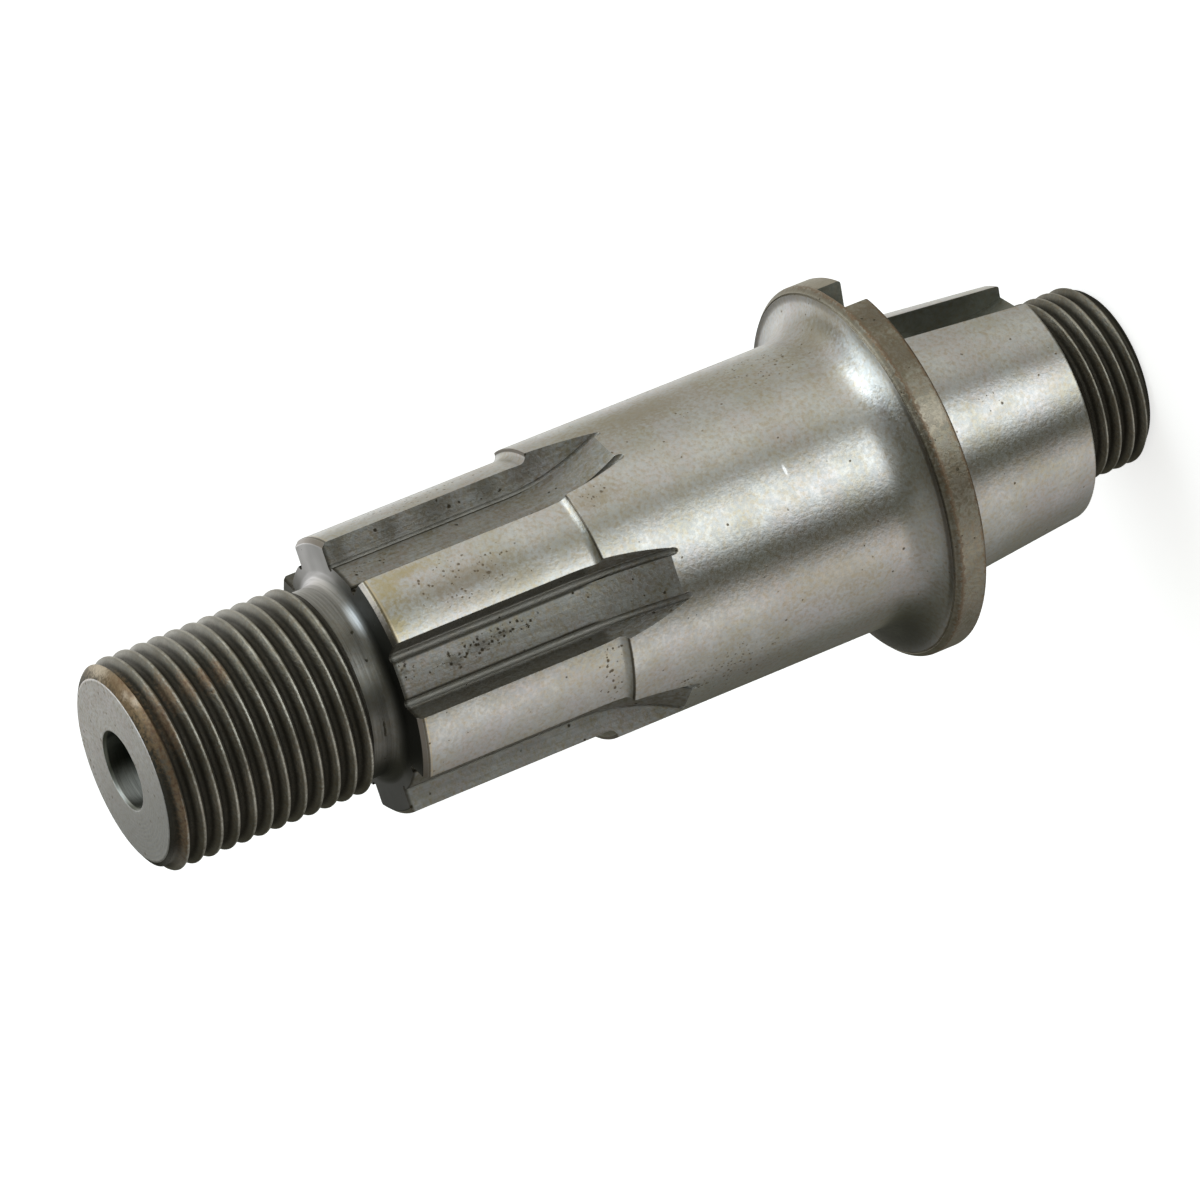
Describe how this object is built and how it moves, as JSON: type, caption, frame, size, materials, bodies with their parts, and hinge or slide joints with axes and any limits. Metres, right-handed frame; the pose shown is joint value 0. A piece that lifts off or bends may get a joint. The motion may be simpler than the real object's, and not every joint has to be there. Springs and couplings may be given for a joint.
{
  "type": "sprocket shaft",
  "caption": "One-piece steel sprocket shaft: straight-sided splines with a nut thread at one end, a ground journal flaring to a flange, and a keyed taper with a nut thread at the other.",
  "frame": {"origin": "centre of the flat end face of the flywheel end, on the shaft's axis", "axes": "+Z along the axis, from the flywheel end towards the sprocket end; the keyseat lies 30 degrees below +X, seen from +Z"},
  "size_m": [0.0456, 0.0456, 0.13],
  "materials": {
    "steel": "ground and machined steel with a light storage film, darker in the threads and on the flange rim"
  },
  "bodies": {
    "root": {"sprocket_shaft": "steel"}
  },
  "joints": []
}
